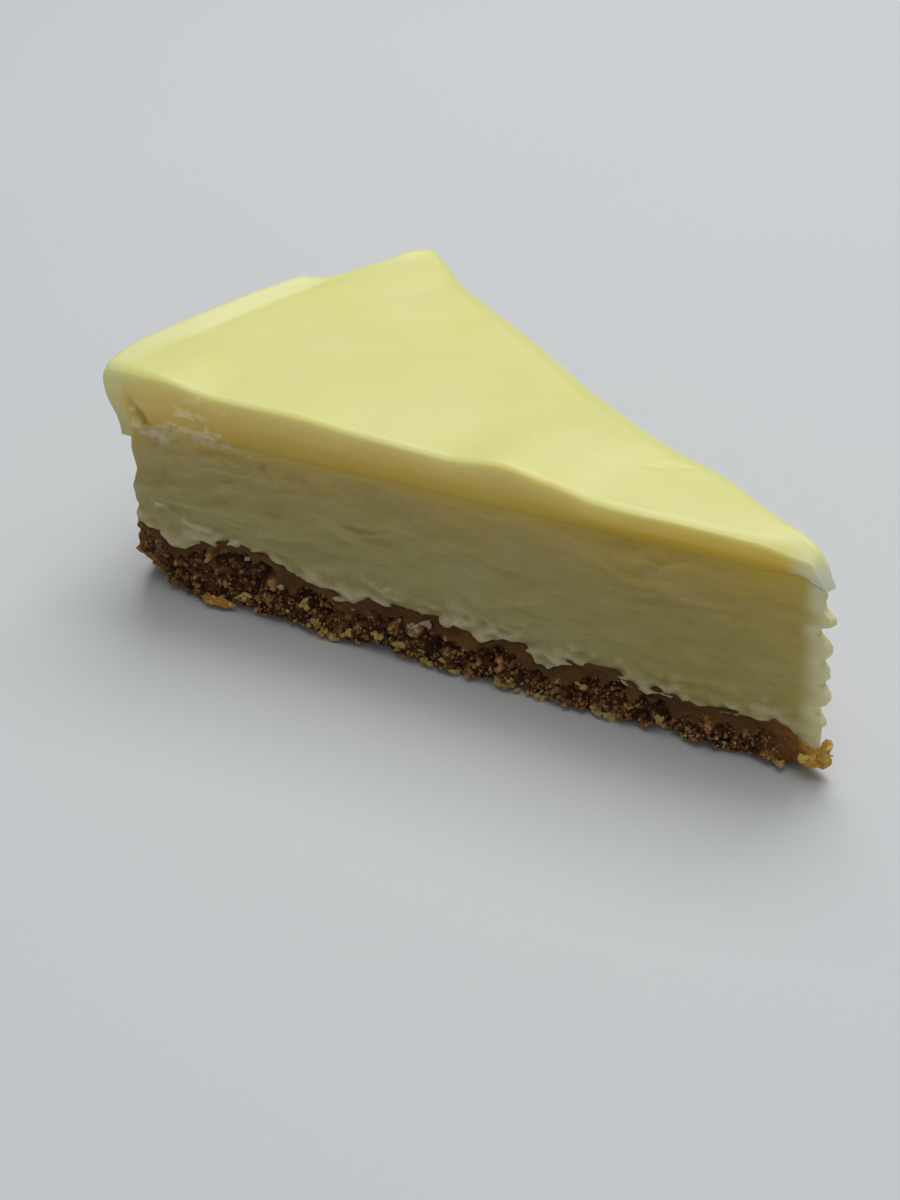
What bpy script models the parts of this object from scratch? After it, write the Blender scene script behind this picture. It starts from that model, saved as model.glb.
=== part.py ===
"""A cut slice of baked cheesecake: a biscuit base, a cheese filling and a lemon topping.

Metres, +Z up, resting on Z = 0. The tip points along +X and the cake's rim along -X. The cut face on
-Y is called the near cut and the one on +Y the far cut. The origin is on the underside, halfway
along the slice.
"""

import math

import bmesh
import bpy
from mathutils import Vector, noise

# The slice as it is cut from a round cake. The apex is where the two cuts would meet. The rim lies
# further from it on the near side by the skew, and is drawn in at both corners.
CAKE_RADIUS = 0.110
SLICE_ANGLE = math.radians(33.7)
APEX_X = CAKE_RADIUS / 2
TIP_BLUNTNESS = 0.0016
TIP_HALF_WIDTH = 0.0004
RIM_SKEW = 0.0016
CORNER_SOFTNESS = 0.0012
CORNER_SHARPNESS = 7
HALF_SINE = math.sin(SLICE_ANGLE / 2)
HALF_COSINE = math.cos(SLICE_ANGLE / 2)
HALF_TANGENT = math.tan(SLICE_ANGLE / 2)

# Heights of the layers above the underside.
BASE_AT_TIP = 0.0056
BASE_AT_RIM = 0.0098
BASE_THINNING = 0.0016
THINNING_LENGTH = 0.008
FLOOR_AT_TIP = 0.0300
FLOOR_AT_RIM = 0.0278
CAKE_HEIGHT = 0.0354
LAYER_GAP = 0.0003

# The wavy line where filling and base meet on the far cut and the rim, and the points that it passes
# through on the near cut: distance from the tip, height.
SEAM_WAVE = 0.0008
SEAM_WAVE_LENGTH = 0.011
NEAR_SEAM = (
    (0.0, 0.0036),
    (0.0030, 0.0040),
    (0.0060, 0.0066),
    (0.0085, 0.0077),
    (0.0125, 0.0068),
    (0.0190, 0.0057),
    (0.0245, 0.0065),
    (0.0280, 0.0061),
    (0.0315, 0.0076),
    (0.0375, 0.0073),
    (0.0420, 0.0057),
    (0.0465, 0.0079),
    (0.0510, 0.0080),
    (0.0530, 0.0072),
    (0.0560, 0.0083),
    (0.0640, 0.0080),
    (0.0695, 0.0083),
    (0.0735, 0.0064),
    (0.0780, 0.0077),
    (0.0830, 0.0088),
    (0.0880, 0.0103),
    (0.0935, 0.0114),
    (0.0985, 0.0100),
    (0.1030, 0.0090),
    (0.1070, 0.0102),
    (0.1110, 0.0110),
)

# The filling's faces, dragged by the knife and torn at the tip.
DRAG_DEPTH = 0.00045
DRAG_LENGTH = 0.024
DRAG_PITCH = 0.0048
UNDRAGGED_SHARE = 0.25
TIP_TOOTH = 0.0007
TIP_TOOTH_PITCH = 0.0044
TIP_LEAN = 0.0012

# The base's crumbly faces.
CRAG_DEPTH = 0.0011
CRAG_SIZE = 0.0042
BASE_FLARE = 0.0013
FLARE_LIFT = 0.15
SMOOTH_UPPER_SHARE = 1 / 3
BASE_RIM_STEP = 0.0006
BASE_TIP_STEP = 0.0009
CORNER_CALM = 0.006
BASE_UNDERCUT = 0.0012
TIP_LIFT = 0.0016
BROKEN_CORNER_DEPTH = 0.0024
BROKEN_CORNER_LENGTH = 0.008
BROKEN_CORNER_SHARE = 0.6
PUSH_FADE = 0.009

# The topping's soft edges. Its side faces swell out over the lower share of their height, and its
# roundings shrink with the width of the slice towards the tip.
SWELLING_SHARE = 0.6
LIP_FOOT_SHARE = 0.55
ROUNDING_WIDTH_SHARE = 0.85
NEAR_OVERHANG = 0.0012
FAR_OVERHANG = -0.0006
# Where the far edge of the topping swells out or draws in: distance from the apex, half length,
# swelling.
FAR_BULGES = (
    (0.097, 0.010, -0.0012),
    (0.072, 0.012, 0.0005),
    (0.030, 0.010, 0.0018),
    (0.112, 0.006, 0.0014),
)
RIM_OVERHANG = 0.0046
RIM_SWELLING_BEGINS = 0.25
RIM_SWELLING_SHARE = 0.55
LIP_CORNER_SOFTNESS = 0.0026
TIP_OVERHANG = 0.0012
NOSE_OVERHANG = 0.0012
NOSE_LENGTH = 0.0035
NEAR_ROUNDING = 0.0020
FAR_ROUNDING = 0.0065
FAR_CORNER_SHARPENING = 0.65
SHARPENING_BEGINS = 0.86
SHARPENING_SHARE = 0.12
RIM_ROUNDING = 0.0026
TIP_ROUNDING = 0.0030
RIM_WRAP_DROP = 0.0026
RIM_WRAP_WIDTH = 0.006
RIM_WRAP_SHARPNESS = 2.5
LIP_WAVE = 0.0008
LIP_WAVE_LENGTH = 0.019
STRAIGHT_TIP_LENGTH = 0.020
# The surface's height along the near cut, before the edge is rounded: distance from the tip, height.
# It comes back to its own height within the reach, or nearer where the slice is narrow.
NEAR_EDGE = (
    (0.0020, 0.0306),
    (0.0044, 0.0326),
    (0.0120, 0.0341),
    (0.0250, 0.0345),
    (0.0350, 0.0345),
    (0.0490, 0.0354),
    (0.0620, 0.0350),
    (0.0820, 0.0356),
    (0.0940, 0.0356),
    (0.1045, 0.0363),
    (0.1115, 0.0353),
)
EDGE_REACH = 0.016
EDGE_REACH_SHARE = 1.5

# The rim's lip stands out less beyond the slice's middle line. A turn is 0 on that line and 1 on the
# far cut.
LIP_FAR_SHARE = 0.5
LIP_TURN_LOW = 0.22
LIP_TURN_HIGH = 0.46

# The topping's surface: swells, a crease that runs along the rim with a bead outside it, a small
# bump on the rim, a raised far corner and a drooping tip.
SWELL_HEIGHT = 0.0005
SWELL_LENGTH = 0.032
CREASE_RADIUS = 0.1095
CREASE_DEPTH = 0.00022
CREASE_WIDTH = 0.0013
NEAR_BEAD_HEIGHT = 0.0008
FAR_BEAD_HEIGHT = -0.0011
BEAD_RISE_WIDTH = 0.0045
RIM_BUMP_HEIGHT = 0.0013
RIM_BUMP_REACH = 0.0035
RIM_BUMP_PLACE = Vector((-0.0540, 0.0275))
CORNER_RISE = 0.0006
CORNER_RISE_REACH = 0.030
TIP_DROOP = 0.0032
TIP_DROOP_LENGTH = 0.010

# Crumb flakes that stick out at the foot of the base: distance from the tip along the near cut,
# height of the middle, length, thickness.
FLAKES = (
    (0.0970, 0.0011, 0.0062, 0.0012),
    (0.0780, 0.0014, 0.0030, 0.0018),
    (0.0710, 0.0013, 0.0050, 0.0016),
    (0.0570, 0.0013, 0.0030, 0.0014),
    (0.0440, 0.0013, 0.0030, 0.0016),
    (0.0330, 0.0012, 0.0044, 0.0014),
    (0.0175, 0.0014, 0.0028, 0.0014),
    (0.0075, 0.0013, 0.0026, 0.0014),
)
FLAKE_STAND_OUT = 0.0012
FLAKE_WIDTH = 0.0034
FLAKE_ROUGHNESS = 0.18
FLAKE_TILT = math.radians(6)

# The layers' own colours, with the roughness of their surfaces.
BISCUIT_COLOUR = (0.16, 0.075, 0.028)
CHEESE_COLOUR = (0.62, 0.58, 0.38)
LEMON_COLOUR = (0.80, 0.76, 0.30)
BISCUIT_ROUGHNESS = 0.85
CHEESE_ROUGHNESS = 0.45
LEMON_ROUGHNESS = 0.3

# The mesh: cells along the slice, across it and up each layer.
CELLS_ALONG = 54
CELLS_ACROSS = 18
BASE_ROWS = 6
FILLING_ROWS = 8
TOPPING_ROWS = 6
END_CROWDING = 0.5
FREE_EDGE_CELLS = 3
FREE_TIP_CELLS = 10
# The topping stands out over the rim, so more of its cells lie on the wrap.
FREE_WRAP_CELLS = 6
LIFTED_TIP_CELLS = 6
# Edges that turn by more than this are drawn sharp.
SHARP_EDGE = math.radians(50)

# The strength of the noise, and how far apart it is read for different seeds.
WAVE_GAIN = 1.6
SEED_STEP = 17.3
# How close, in cells of the unit cube, two places count as the same.
SAME_PLACE = 1e-4

NEAR_NORMAL = Vector((HALF_SINE, -HALF_COSINE, 0))
FAR_NORMAL = Vector((HALF_SINE, HALF_COSINE, 0))
TIP_NORMAL = Vector((1, 0, 0))


def clear_scene():
    for thing in list(bpy.data.objects):
        bpy.data.objects.remove(thing, do_unlink=True)


def smooth(value):
    """Rises from 0 to 1 with level ends."""
    t = min(max(value, 0.0), 1.0)
    return t * t * (3 - 2 * t)


def hump(distance, width):
    """A bump of height 1 that has died away beyond its width."""
    return math.exp(-((distance / width) ** 2))


def wave(x, y, z, seed):
    """Smooth unevenness between about -1 and 1, different for each seed."""
    return WAVE_GAIN * noise.noise(Vector((x, y, z + SEED_STEP * seed)))


def stations(count):
    """The cut positions from 0 to 1, closer together towards both ends."""
    even = [k / count for k in range(count + 1)]
    return [(1 - END_CROWDING) * t + END_CROWDING * (0.5 - 0.5 * math.cos(math.pi * t)) for t in even]


ALONG_CUTS = stations(CELLS_ALONG)
ACROSS_CUTS = stations(CELLS_ACROSS)
EDGE_ZONE_ACROSS = ACROSS_CUTS[FREE_EDGE_CELLS]
EDGE_ZONE_ALONG = ALONG_CUTS[FREE_EDGE_CELLS]
TIP_ZONE = ALONG_CUTS[FREE_TIP_CELLS]


def gridded_box(rows):
    """A unit cube from (0, 0, 0) to (1, 1, 1), sliced into cells along, across and up."""
    box = bmesh.new()
    bmesh.ops.create_cube(box, size=1)
    bmesh.ops.translate(box, verts=box.verts, vec=(0.5, 0.5, 0.5))
    even_rows = [k / rows for k in range(rows + 1)]
    for axis, cuts in enumerate((ALONG_CUTS, ACROSS_CUTS, even_rows)):
        for cut in cuts[1:-1]:
            place, normal = Vector((0, 0, 0)), Vector((0, 0, 0))
            place[axis], normal[axis] = cut, 1
            everything = box.verts[:] + box.edges[:] + box.faces[:]
            bmesh.ops.bisect_plane(box, geom=everything, plane_co=place, plane_no=normal)
    return box


def merge_flat_inside(box, level, free_cells):
    """Joins the cells of a hidden layer face that stay in one plane into a single face."""
    edge = EDGE_ZONE_ACROSS - SAME_PLACE
    end = 1 - ALONG_CUTS[free_cells] + SAME_PLACE
    start = TIP_ZONE - SAME_PLACE

    def is_inside(co):
        return abs(co.z - level) < SAME_PLACE and start < co.x < end and edge < co.y < 1 - edge

    inside = [face for face in box.faces if all(is_inside(v.co) for v in face.verts)]
    bmesh.ops.dissolve_faces(box, faces=inside, use_verts=True)


def merge_underside(box):
    """Makes the flat part of the underside, all but the lifted tip, one face."""
    start = ALONG_CUTS[LIFTED_TIP_CELLS] - SAME_PLACE

    def is_under(co):
        return co.z < SAME_PLACE and co.x > start

    under = [face for face in box.faces if all(is_under(v.co) for v in face.verts)]
    bmesh.ops.dissolve_faces(box, faces=under, use_verts=True)


def line_height(points, distance):
    """Height of a line that rises and falls smoothly from one of its points to the next."""
    for (start, low), (end, high) in zip(points, points[1:]):
        if distance < end:
            return low + (high - low) * smooth((distance - start) / (end - start))
    return points[-1][1]


def far_share(turn):
    """0 where the rim's lip is whole, 1 where it stands out less."""
    return smooth((turn - LIP_TURN_LOW) / (LIP_TURN_HIGH - LIP_TURN_LOW))


def rim_reach(side, overhang):
    """Distance of the rim from the apex: longer on the near side, and drawn in at the corners."""
    beyond = far_share(side)
    drawn_in = CORNER_SOFTNESS + LIP_CORNER_SOFTNESS * (1 - beyond) * overhang / RIM_OVERHANG
    overhang *= 1 + (LIP_FAR_SHARE - 1) * beyond
    return CAKE_RADIUS + overhang - RIM_SKEW * side - drawn_in * abs(side) ** CORNER_SHARPNESS


def half_width(along, reach=CAKE_RADIUS):
    distance = TIP_BLUNTNESS + along * (reach * HALF_COSINE - TIP_BLUNTNESS)
    return math.hypot(TIP_HALF_WIDTH, distance * HALF_TANGENT)


def plan(along, across, overhang=0.0):
    """The place in plan: along runs from tip to rim, across from the near cut to the far one."""
    side = 2 * across - 1
    reach = rim_reach(side, overhang)
    x = APEX_X - TIP_BLUNTNESS - along * (rim_distance(side, reach) - TIP_BLUNTNESS)
    return x, side * half_width(along, reach)


def rim_distance(side, reach):
    """Distance of the rim from the apex along the slice's middle line."""
    return math.sqrt(reach ** 2 - (side * reach * HALF_SINE) ** 2)


def cut_distance(x, y):
    """Distance from the apex along the nearer cut."""
    return (APEX_X - x) * HALF_COSINE + abs(y) * HALF_SINE


def edge_share(along, across):
    """1 on the side faces and the tip, 0 where the hidden layer faces are one plane."""
    sides = min(across, 1 - across) / EDGE_ZONE_ACROSS
    nearest = min(sides, (1 - along) / EDGE_ZONE_ALONG, along / TIP_ZONE)
    return 1 - smooth(nearest)


def base_top(along, across):
    """Height of the base's upper face: a sloping plane inside, and wavy near the faces."""
    x, y = plan(along, across)
    distance = APEX_X - x
    plane = BASE_AT_TIP + (BASE_AT_RIM - BASE_AT_TIP) * distance / CAKE_RADIUS
    plane -= BASE_THINNING * (1 - smooth(distance / THINNING_LENGTH))
    seam = SEAM_WAVE * wave(x / SEAM_WAVE_LENGTH, y / (2 * SEAM_WAVE_LENGTH), 0, 1)
    # The near cut's line is whole on the near quarter of the slice and at the tip.
    near_share = max(smooth(1.5 - 2 * across), 1 - smooth(along / TIP_ZONE))
    near_rise = line_height(NEAR_SEAM, cut_distance(x, y)) - plane
    return plane + (seam + (near_rise - seam) * near_share) * edge_share(along, across)


def topping_floor(x, across):
    """Height of the filling's upper face, which bends down where the topping wraps the rim."""
    side = 2 * across - 1
    length = rim_distance(side, rim_reach(side, 0)) - TIP_BLUNTNESS
    along = min(1, (APEX_X - TIP_BLUNTNESS - x) / length)
    plane = FLOOR_AT_TIP + (FLOOR_AT_RIM - FLOOR_AT_TIP) * (APEX_X - x) / CAKE_RADIUS
    wrap = max(0.0, 1 - (1 - along) * CAKE_RADIUS / RIM_WRAP_WIDTH)
    return plane - RIM_WRAP_DROP * wrap ** RIM_WRAP_SHARPNESS * edge_share(along, across)


def topping_top(x, y):
    """Height of the topping's surface before its edges are rounded."""
    distance, radius = APEX_X - x, math.hypot(APEX_X - x, y)
    turn = y / (max(radius, TIP_HALF_WIDTH) * HALF_SINE)
    swell = SWELL_HEIGHT * wave(x / SWELL_LENGTH, y / SWELL_LENGTH, 0, 2)
    outside = radius - CREASE_RADIUS
    beyond = far_share(turn)
    crease = CREASE_DEPTH * (1 - beyond) * hump(outside, CREASE_WIDTH)
    bead = NEAR_BEAD_HEIGHT + (FAR_BEAD_HEIGHT - NEAR_BEAD_HEIGHT) * beyond
    bead *= smooth(outside / BEAD_RISE_WIDTH)
    far_corner = Vector((APEX_X - CAKE_RADIUS * HALF_COSINE, CAKE_RADIUS * HALF_SINE))
    corner = CORNER_RISE * hump((Vector((x, y)) - far_corner).length, CORNER_RISE_REACH)
    bump = RIM_BUMP_HEIGHT * hump((Vector((x, y)) - RIM_BUMP_PLACE).length, RIM_BUMP_REACH)
    droop = TIP_DROOP * (1 - smooth(distance / TIP_DROOP_LENGTH))
    return CAKE_HEIGHT + swell - crease + bead + corner + bump - droop


def rounded(inset, depth, radius):
    """Brings a point of a square edge onto a round one. Both distances run inward from the edge."""
    sideways, downwards = radius - inset, radius - depth
    reach = math.hypot(sideways, downwards)
    if min(sideways, downwards) <= 0 or reach <= radius:
        return inset, depth
    return radius * (1 - sideways / reach), radius * (1 - downwards / reach)


def insets(along, across):
    """How far a place in plan lies from the near cut, the far cut, the rim and the tip."""
    width, side = half_width(along), 2 * across - 1
    return width * (1 + side), width * (1 - side), (1 - along) * CAKE_RADIUS, along * CAKE_RADIUS


def outward(along, across, amounts):
    """The push on a place from the side faces, which fades inwards so that no cell turns over."""
    x, y = plan(along, across)
    normals = (NEAR_NORMAL, FAR_NORMAL, Vector((x - APEX_X, y, 0)).normalized(), TIP_NORMAL)
    push = Vector((0, 0, 0))
    for inset, normal, amount in zip(insets(along, across), normals, amounts):
        push += normal * amount * max(0.0, 1 - inset / PUSH_FADE)
    return push


def base_point(along, across, up):
    x, y = plan(along, across)
    lift = TIP_LIFT * smooth(1 - along / ALONG_CUTS[LIFTED_TIP_CELLS])
    height = lift + (base_top(along, across) - lift) * up
    crag = CRAG_DEPTH * wave(x / CRAG_SIZE, y / CRAG_SIZE, height / CRAG_SIZE, 3)
    crag *= smooth((1 - up) / SMOOTH_UPPER_SHARE)
    flare = BASE_FLARE * math.sin(math.pi * min(1, up + FLARE_LIFT)) - BASE_UNDERCUT * (up == 0)
    near_inset, far_inset, rim_inset, _ = insets(along, across)
    corner_distance = math.hypot(rim_inset, near_inset)
    broken = BROKEN_CORNER_DEPTH * smooth(1 - corner_distance / BROKEN_CORNER_LENGTH)
    broken *= smooth((BROKEN_CORNER_SHARE - up) * 2)
    rim = (crag + flare) * smooth(min(near_inset, far_inset) / CORNER_CALM)
    rim += BASE_RIM_STEP * (up < 1) - broken
    sides = (crag + flare - broken, crag + flare, rim, BASE_TIP_STEP * (up < 1))
    return Vector((x, y, height)) + outward(along, across, sides)


def filling_point(along, across, up):
    x, y = plan(along, across)
    low = base_top(along, across) + LAYER_GAP
    high = topping_floor(x, across)
    height = low + (high - low) * up
    drag = DRAG_DEPTH * wave(x / DRAG_LENGTH, y / DRAG_LENGTH, height / DRAG_PITCH, 4)
    risen = smooth(up / UNDRAGGED_SHARE)
    drag *= risen * smooth((1 - up) / UNDRAGGED_SHARE)
    tooth = TIP_TOOTH * wave(0, 0, height / TIP_TOOTH_PITCH, 5) * risen - TIP_LEAN * up
    return Vector((x, y, height)) + outward(along, across, (drag, drag, drag, tooth))


def soften(along, across, place, depth, overhang):
    """Rounds the four upper edges of the topping at a place that lies a depth below its surface."""
    near, far, rim, tip = insets(along, across)
    widest = ROUNDING_WIDTH_SHARE * half_width(along)
    sharpening = FAR_CORNER_SHARPENING * smooth((along - SHARPENING_BEGINS) / SHARPENING_SHARE)
    radial = Vector((place.x - APEX_X, place.y, 0)).normalized()
    edges = (
        (near, min(NEAR_ROUNDING, widest), NEAR_NORMAL),
        (far, min(FAR_ROUNDING * (1 - sharpening), widest), FAR_NORMAL),
        (rim + (1 - along) * overhang, RIM_ROUNDING, radial),
        (tip, TIP_ROUNDING, TIP_NORMAL),
    )
    for inset, radius, normal in edges:
        new_inset, depth = rounded(inset, depth, radius)
        place = place - normal * (new_inset - inset)
    return place, depth


def topping_point(along, across, up):
    bulge = smooth(up / SWELLING_SHARE)
    rim_bulge = smooth((up - RIM_SWELLING_BEGINS) / RIM_SWELLING_SHARE)
    overhang = RIM_OVERHANG * (LIP_FOOT_SHARE + (1 - LIP_FOOT_SHARE) * rim_bulge)
    x, y = plan(along, across, overhang)
    side, distance = 2 * across - 1, APEX_X - x
    lip = LIP_WAVE * wave(x / LIP_WAVE_LENGTH, y / LIP_WAVE_LENGTH, 0, 6)
    lip *= smooth(distance / STRAIGHT_TIP_LENGTH)
    bulges = sum(size * hump(distance - place, length) for place, length, size in FAR_BULGES)
    reach = FAR_OVERHANG + bulges if side > 0 else NEAR_OVERHANG
    y += bulge * side * (reach + lip)
    x += (bulge * TIP_OVERHANG - TIP_LEAN) * max(0.0, 1 - along * CAKE_RADIUS / PUSH_FADE)
    x += (1 - bulge) * NOSE_OVERHANG * smooth(1 - along * CAKE_RADIUS / NOSE_LENGTH)
    floor = topping_floor(x, across) + LAYER_GAP
    near_inset = insets(along, across)[0]
    edge_reach = min(EDGE_REACH, EDGE_REACH_SHARE * half_width(along))
    top = topping_top(x, y)
    edge = line_height(NEAR_EDGE, cut_distance(x, y))
    top += (edge - top) * smooth(1 - near_inset / edge_reach)
    place, depth = soften(along, across, Vector((x, y, 0)), (top - floor) * (1 - up), overhang)
    place.z = top - depth
    return place


def layer(name, rows, shape, merges, colour, roughness, collection):
    """One layer of the slice as a closed solid with its own material."""
    box = gridded_box(rows)
    for merge in merges:
        merge(box)
    for vertex in box.verts:
        vertex.co = shape(*(round(share, 6) for share in vertex.co))
    # Running from tip to rim against the X axis mirrors the cube, so its faces are turned back.
    bmesh.ops.reverse_faces(box, faces=box.faces)
    mesh = bpy.data.meshes.new(name)
    box.to_mesh(mesh)
    box.free()
    mesh.shade_smooth()
    mesh.set_sharp_from_angle(angle=SHARP_EDGE)
    solid = bpy.data.objects.new(name, mesh)
    collection.objects.link(solid)
    mesh.materials.append(food_material(name, colour, roughness))
    return solid


def food_material(name, colour, roughness):
    material = bpy.data.materials.new(name)
    material.use_nodes = True
    shader = material.node_tree.nodes["Principled BSDF"]
    shader.inputs["Base Color"].default_value = (*colour, 1)
    shader.inputs["Roughness"].default_value = roughness
    shader.inputs["Metallic"].default_value = 0
    return material


def fuse_flakes(base):
    """Joins the crumb flakes at the foot of the near cut to the base."""
    loose = bpy.data.collections.new("flakes")
    bpy.context.scene.collection.children.link(loose)
    for number, (distance, height, length, thickness) in enumerate(FLAKES):
        bpy.ops.mesh.primitive_ico_sphere_add(subdivisions=1, radius=0.5)
        flake = bpy.context.object
        for owner in list(flake.users_collection):
            owner.objects.unlink(flake)
        loose.objects.link(flake)
        for vertex in flake.data.vertices:
            vertex.co *= 1 + FLAKE_ROUGHNESS * wave(*(vertex.co * 3), number)
        flake.scale = (length, FLAKE_WIDTH, thickness)
        flake.rotation_euler = (0, FLAKE_TILT * (-1) ** number, SLICE_ANGLE / 2)
        on_edge = Vector((APEX_X, 0, height)) - Vector((HALF_COSINE, HALF_SINE, 0)) * distance
        flake.location = on_edge + NEAR_NORMAL * FLAKE_STAND_OUT
    union = base.modifiers.new("fuse the flakes", "BOOLEAN")
    union.operation = "UNION"
    union.operand_type = "COLLECTION"
    union.collection = loose
    union.solver = "EXACT"
    bpy.context.view_layer.objects.active = base
    bpy.ops.object.modifier_apply(modifier=union.name)
    for flake in list(loose.objects):
        bpy.data.objects.remove(flake, do_unlink=True)
    bpy.data.collections.remove(loose)


def build():
    clear_scene()
    collection = bpy.data.collections.new("baked cheesecake slice")
    bpy.context.scene.collection.children.link(collection)

    def flat_top(box):
        merge_flat_inside(box, 1, FREE_EDGE_CELLS)

    def flat_bottom(box):
        merge_flat_inside(box, 0, FREE_EDGE_CELLS)

    def flat_bottom_inside_wrap(box):
        merge_flat_inside(box, 0, FREE_WRAP_CELLS)

    base = layer(
        "biscuit_base", BASE_ROWS, base_point, (merge_underside, flat_top),
        BISCUIT_COLOUR, BISCUIT_ROUGHNESS, collection,
    )
    layer(
        "cheese_filling", FILLING_ROWS, filling_point, (flat_bottom, flat_top),
        CHEESE_COLOUR, CHEESE_ROUGHNESS, collection,
    )
    layer(
        "lemon_topping", TOPPING_ROWS, topping_point, (flat_bottom_inside_wrap,),
        LEMON_COLOUR, LEMON_ROUGHNESS, collection,
    )
    fuse_flakes(base)


build()
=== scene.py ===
"""The looks of a cut slice of baked cheesecake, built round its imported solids.

Metres, in the part's own frame: the tip points along +X and the cake's rim along -X, the near cut
faces -Y and the far cut +Y, and the slice rests on Z = 0. Each layer is the surface of a cube, cut
into cells and moved into place. A place on it is given by three shares from 0 to 1: along runs from
tip to rim, across from the near cut to the far one, and up from the layer's foot to its top.
"""

import math

import bmesh
import bpy
import numpy as np
from mathutils import Matrix, Vector, noise


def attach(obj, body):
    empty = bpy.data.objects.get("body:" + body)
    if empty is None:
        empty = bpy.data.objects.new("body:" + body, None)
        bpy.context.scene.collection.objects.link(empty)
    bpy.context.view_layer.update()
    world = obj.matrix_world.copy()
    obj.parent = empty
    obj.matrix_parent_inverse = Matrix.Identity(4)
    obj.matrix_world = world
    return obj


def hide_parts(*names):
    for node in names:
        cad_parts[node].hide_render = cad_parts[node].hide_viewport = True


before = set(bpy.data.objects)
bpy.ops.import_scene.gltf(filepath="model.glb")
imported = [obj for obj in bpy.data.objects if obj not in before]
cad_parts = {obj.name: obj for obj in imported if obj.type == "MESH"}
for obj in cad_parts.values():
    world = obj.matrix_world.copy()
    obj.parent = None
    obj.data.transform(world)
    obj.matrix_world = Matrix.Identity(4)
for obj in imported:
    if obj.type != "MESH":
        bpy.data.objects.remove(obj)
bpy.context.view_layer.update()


def in_metres(rows):
    """Rows of lengths that are given in millimetres."""
    return tuple(tuple(length / 1000 for length in row) for row in rows)


# The slice in plan, as in the part's own source.
RADIUS = 0.11
SLICE_ANGLE = math.radians(33.7)
APEX_X = RADIUS / 2
TIP_BLUNTNESS = 0.0016
TIP_HALF_WIDTH = 0.0004
RIM_SKEW = 0.0016
CORNER_SOFTNESS = 0.0012
CORNER_SHARPNESS = 7
SINE = math.sin(SLICE_ANGLE / 2)
COSINE = math.cos(SLICE_ANGLE / 2)
TANGENT = math.tan(SLICE_ANGLE / 2)

# Heights of the layers above the underside.
BASE_AT_TIP = 0.0056
BASE_AT_RIM = 0.0098
BASE_THINNING = 0.0016
THINNING_LENGTH = 0.008
FLOOR_AT_TIP = 0.03
FLOOR_AT_RIM = 0.0278
CAKE_HEIGHT = 0.0354
# How far each layer is pressed into the one below it.
BEDDING = 0.0003

# The line where filling and base meet on the near cut, as distance from the tip and height.
NEAR_SEAM = in_metres((
    (0, 3.6), (3, 4), (6, 6.6), (8.5, 7.7), (12.5, 6.8), (19, 5.7), (24.5, 6.5), (28, 6.1), (31.5, 7.6),
    (37.5, 7.3), (42, 5.7), (46.5, 7.9), (51, 8), (53, 7.2), (56, 8.3), (64, 8), (69.5, 8.3), (73.5, 6.4),
    (78, 7.7), (83, 8.8), (88, 10.3), (93.5, 11.4), (98.5, 10), (103, 9), (107, 10.2), (111, 11),
))
# The share of the slice, inward from its faces, where a layer's hidden faces are uneven.
EDGE_ZONE_ACROSS = 0.117
EDGE_ZONE_ALONG = 0.032
TIP_ZONE = 0.134

# The filling's faces: dragged by the knife, smeared over the base and torn at the tip.
UNDRAGGED_SHARE = 0.25
STREAK_DEPTH = 0.0003
STREAK_PITCH = 0.0016
STREAK_SLOPE = 0.16
SMEAR_DEPTH = 0.0007
SMEAR_HEIGHT = 0.0021
SMEAR_LEVEL = 0.0005
# How much of the streaks, the dabs and all relief is left where they are weakest.
LEAST_STREAKS = 0.35
LEAST_DABS = 0.45
FILLING_CORNER = 0.35
# How far below the topping the knife's marks come in, and the rim's roughness beside a cut's.
UNMARKED_EDGE = 0.003
RIM_ROUGHNESS = 0.3
# Torn dabs, which are strongest just above the seam.
DAB_SIZE = 0.0024
DAB_STRETCH = 2.4
DAB_DEPTH = 0.00055
DAB_REACH = 0.009
TIP_LEAN = 0.0012
# Torn bits of filling at the tip: height, half height, how far they stand out.
TIP_TEETH = in_metres((
    (24.1, 1, 1.7), (19.6, 1.4, 1), (15.9, 1.2, 1.1), (12.6, 1.4, 1.4), (8.3, 0.8, 0.9),
    (21.9, 0.7, -0.6), (10.2, 0.6, -0.3),
))
TEETH_LENGTH = 0.005
# How far from the tip the filling is paler, a painted glow of light shining through the thin tip, and how
# far it and the topping are riper in colour.
PAINTED_GLOW_TIP = 0.008
RIPE_LENGTH = 0.055
DEEP_LENGTH = 0.045
# Cracks and ledges in the filling's faces: distance from the tip, height, half length, half width,
# slope, depth.
CRACKS = (
    (0.1068, 0.0186, 0.0016, 0.0007, 1.1, 0.0007), (0.1035, 0.0148, 0.004, 0.0005, 0.1, 0.0006),
    (0.0985, 0.0124, 0.004, 0.0005, 0.2, 0.0006), (0.0895, 0.0235, 0.0014, 0.0005, 1.6, 0.0003),
    (0.0868, 0.0243, 0.0016, 0.0004, -0.8, 0.0003), (0.076, 0.0135, 0.005, 0.0005, 0.1, 0.0003),
    (0.03, 0.0105, 0.005, 0.0005, 0.2, 0.0003),
)
# How much further on the far cut is read than the near one.
FAR_CUT_SHIFT = 0.013
# Whitish glossy patches on the cut faces: distance from the tip, height, half length, half height.
# They are partly filling smeared by the knife and partly painted highlights on the wet faces.
SMEARS_AND_GLINTS = in_metres((
    (105.8, 26.2, 2.2, 1.4), (101, 28, 3.4, 1.2), (98.3, 31.9, 3, 1.1), (95.3, 34.2, 3.4, 0.5),
    (109, 28.8, 0.7, 1.6), (96, 28.4, 2.6, 0.8), (105.8, 14.3, 2.4, 0.5), (100.8, 12.8, 2, 0.6),
    (95.3, 11.8, 3.8, 0.6), (111, 13, 0.6, 0.7), (90.5, 26.5, 0.8, 0.4), (69, 11, 2.6, 0.6),
    (56, 9, 3, 0.6),
))
SMEAR_RELIEF = 0.00022
SMEAR_AND_GLINT_SLOPE = 0.1
SMEAR_AND_GLINT_SPREAD = 1.4
SMEAR_AND_GLINT_BEGINS = (0.5, 0.7)
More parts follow.
